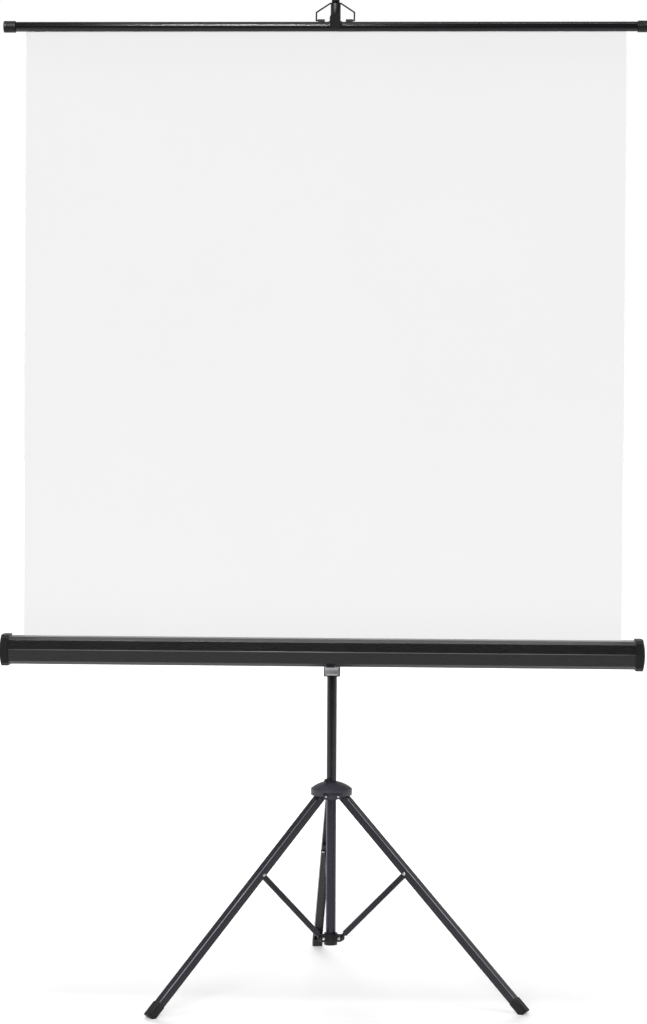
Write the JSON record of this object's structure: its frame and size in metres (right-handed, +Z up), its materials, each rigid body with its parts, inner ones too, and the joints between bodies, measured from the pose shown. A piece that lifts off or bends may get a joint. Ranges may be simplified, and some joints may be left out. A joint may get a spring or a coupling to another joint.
{
  "type": "tripod projection screen",
  "caption": "Free-standing projection screen: white sheet drawn from a faceted roller case and hooked by a wire bail on a telescopic mast over a folding tripod.",
  "frame": {"origin": "on the floor under the middle of the whole footprint", "axes": "+Z up, -Y the way the white screen faces, +X to the right of someone facing the screen"},
  "size_m": [1.667, 0.8938, 2.5957],
  "materials": {
    "black_steel": "satin black paint",
    "leg_steel": "satin grey-black paint",
    "black_aluminium": "satin black coating",
    "bare_aluminium": "mill finish",
    "hub_plastic": "satin moulded",
    "black_plastic": "satin moulded",
    "zinc_steel": "zinc plated",
    "white_fabric": "matte white",
    "nylon": "natural nylon"
  },
  "bodies": {
    "pole": {"pole_tube": "black_steel", "brace_collar": "hub_plastic", "collar_rivets": "zinc_steel", "hub_stop_ring": "zinc_steel", "mast_collar": "black_plastic"},
    "mast_knob": {"mast_knob": "black_plastic"},
    "brace_left": {"brace_left": "leg_steel"},
    "brace_right": {"brace_right": "leg_steel"},
    "brace_rear": {"brace_rear": "leg_steel"},
    "leg_left": {"leg_left": "leg_steel", "foot_left": "black_plastic", "leg_rivet_left": "zinc_steel"},
    "leg_right": {"leg_right": "leg_steel", "foot_right": "black_plastic", "leg_rivet_right": "zinc_steel"},
    "leg_rear": {"leg_rear": "leg_steel", "foot_rear": "black_plastic", "leg_rivet_rear": "zinc_steel"},
    "hub": {"hub_dome": "hub_plastic", "hub_pins": "zinc_steel"},
    "hub_knob": {"hub_knob": "black_plastic"},
    "carriage": {"carriage_body": "black_plastic", "guide_key": "zinc_steel", "lever_pin": "zinc_steel"},
    "lever": {"clamp_lever": "zinc_steel"},
    "case": {"case_shell": "black_aluminium", "case_cap_left": "black_plastic", "case_cap_right": "black_plastic", "case_bracket": "black_steel", "spring_spindle": "zinc_steel", "torsion_spring": "zinc_steel"},
    "roller": {"roller_tube": "bare_aluminium", "fabric_roll": "white_fabric", "roller_plug_left": "black_plastic", "roller_plug_right": "black_plastic"},
    "mast": {"mast_tube": "black_steel", "mast_head": "black_plastic", "mast_bush": "nylon", "rail_tube": "black_aluminium", "rail_cap_left": "black_plastic", "rail_cap_right": "black_plastic", "rail_saddle": "black_steel", "bail_clips": "black_steel", "hem_rod": "nylon", "screen_fabric": "white_fabric"},
    "bail": {"bail_wire": "black_steel"}
  },
  "joints": [
    {"name": "tripod_fold", "type": "hinge", "parent": "pole", "child": "brace_left", "pos_m": [0.00335, -0.12497, 0.142], "axis": [-0.5878, 0.809, 0], "range_deg": [0, 43.7]},
    {"name": "brace_right_fold", "type": "hinge", "parent": "pole", "child": "brace_right", "pos_m": [0.05158, -0.1199, 0.142], "axis": [-0.4067, -0.9135, 0], "range_deg": [0, 44.2]},
    {"name": "brace_rear_fold", "type": "hinge", "parent": "pole", "child": "brace_rear", "pos_m": [0.02307, -0.08067, 0.142], "axis": [0.9945, 0.1045, 0], "range_deg": [0, 44.2]},
    {"name": "leg_left_fold", "type": "hinge", "parent": "brace_left", "child": "leg_left", "pos_m": [-0.14862, -0.23538, 0.3305], "axis": [0.5878, -0.809, 0], "range_deg": [0, 88.4]},
    {"name": "leg_right_fold", "type": "hinge", "parent": "brace_right", "child": "leg_right", "pos_m": [0.22318, -0.1963, 0.3305], "axis": [0.4067, 0.9135, 0], "range_deg": [0, 88.4]},
    {"name": "leg_rear_fold", "type": "hinge", "parent": "brace_rear", "child": "leg_rear", "pos_m": [0.00344, 0.10615, 0.3305], "axis": [-0.9945, -0.1045, 0], "range_deg": [0, 88.4]},
    {"name": "hub_ride", "type": "hinge", "parent": "leg_left", "child": "hub", "pos_m": [0.00335, -0.12497, 0.519], "axis": [-0.5878, 0.809, 0], "range_deg": [0, 44.2]},
    {"name": "hub_knob_turn", "type": "hinge", "parent": "hub", "child": "hub_knob", "pos_m": [0.026, -0.10851, 0.559], "axis": [-0.5592, -0.829, 0], "range_deg": [0, 270]},
    {"name": "mast_knob_turn", "type": "hinge", "parent": "pole", "child": "mast_knob", "pos_m": [0.026, -0.08351, 1.472], "axis": [0, 1, 0], "range_deg": [0, 270]},
    {"name": "screen_height", "type": "slide", "parent": "pole", "child": "carriage", "axis": [0, 0, 1], "range_m": [-0.06, 0.18]},
    {"name": "lever_open", "type": "hinge", "parent": "carriage", "child": "lever", "pos_m": [0.026, -0.12851, 0.857], "axis": [-1, 0, 0], "range_deg": [0, 80]},
    {"name": "case_level", "type": "hinge", "parent": "carriage", "child": "case", "pos_m": [0.026, -0.16551, 0.903], "axis": [0, 1, 0], "range_deg": [-2, 2]},
    {"name": "mast_lower", "type": "slide", "parent": "carriage", "child": "mast", "axis": [0, 0, -1], "range_m": [0, 0.93], "deforming": ["screen_fabric"]},
    {"name": "roller_turn", "type": "hinge", "parent": "case", "child": "roller", "pos_m": [0, -0.20251, 0.903], "axis": [-1, 0, 0], "range_deg": [0, 2330]},
    {"name": "bail_swing", "type": "hinge", "parent": "mast", "child": "bail", "pos_m": [0.026, -0.13301, 2.5317], "axis": [1, 0, 0], "range_deg": [0, 110]}
  ],
  "couplings": [
    {"joint": "brace_right_fold", "follows": "tripod_fold", "ratio": 1},
    {"joint": "brace_rear_fold", "follows": "tripod_fold", "ratio": 1},
    {"joint": "leg_left_fold", "follows": "tripod_fold", "ratio": 2},
    {"joint": "leg_right_fold", "follows": "tripod_fold", "ratio": 2},
    {"joint": "leg_rear_fold", "follows": "tripod_fold", "ratio": 2},
    {"joint": "hub_ride", "follows": "tripod_fold", "ratio": 1},
    {"joint": "roller_turn", "follows": "mast_lower", "rad_per_m": 43.478}
  ]
}
